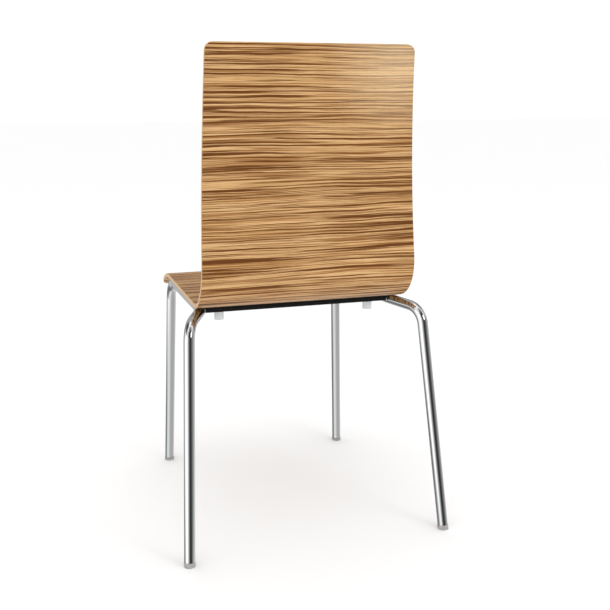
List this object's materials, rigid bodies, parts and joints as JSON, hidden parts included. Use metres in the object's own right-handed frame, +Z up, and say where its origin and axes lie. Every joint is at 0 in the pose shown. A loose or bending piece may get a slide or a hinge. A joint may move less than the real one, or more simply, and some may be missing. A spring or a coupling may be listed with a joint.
{
  "type": "stacking chair",
  "caption": "Armless stacking chair: a one-piece moulded plywood seat and back on two bent tube side frames joined by channel cross bars.",
  "frame": {"origin": "on the floor, at the middle of the chair's width and depth", "axes": "+Z up; -Y the way the sitter faces; +X the sitter's left"},
  "size_m": [0.4898, 0.5235, 0.86],
  "materials": {
    "veneer": "zebrano veneer on moulded plywood under satin lacquer, grain running across the chair",
    "chrome": "bright chrome-plated steel tube",
    "black_coat": "semi-gloss black powder coat",
    "foot_nylon": "moulded grey nylon",
    "clear_bumper": "milky translucent moulded plastic",
    "zinc": "zinc-plated steel"
  },
  "bodies": {
    "root": {"front_cross_bar": "black_coat", "front_left_bumper": "clear_bumper", "front_left_bumper_screw": "zinc", "front_left_foot": "foot_nylon", "front_left_insert": "zinc", "front_left_screw": "zinc", "front_left_washer": "zinc", "front_right_bumper": "clear_bumper", "front_right_bumper_screw": "zinc", "front_right_foot": "foot_nylon", "front_right_insert": "zinc", "front_right_screw": "zinc", "front_right_washer": "zinc", "left_side_frame": "chrome", "rear_cross_bar": "black_coat", "rear_left_bumper": "clear_bumper", "rear_left_bumper_screw": "zinc", "rear_left_foot": "foot_nylon", "rear_left_insert": "zinc", "rear_left_screw": "zinc", "rear_left_washer": "zinc", "rear_right_bumper": "clear_bumper", "rear_right_bumper_screw": "zinc", "rear_right_foot": "foot_nylon", "rear_right_insert": "zinc", "rear_right_screw": "zinc", "rear_right_washer": "zinc", "right_side_frame": "chrome", "seat_shell": "veneer"}
  },
  "joints": []
}
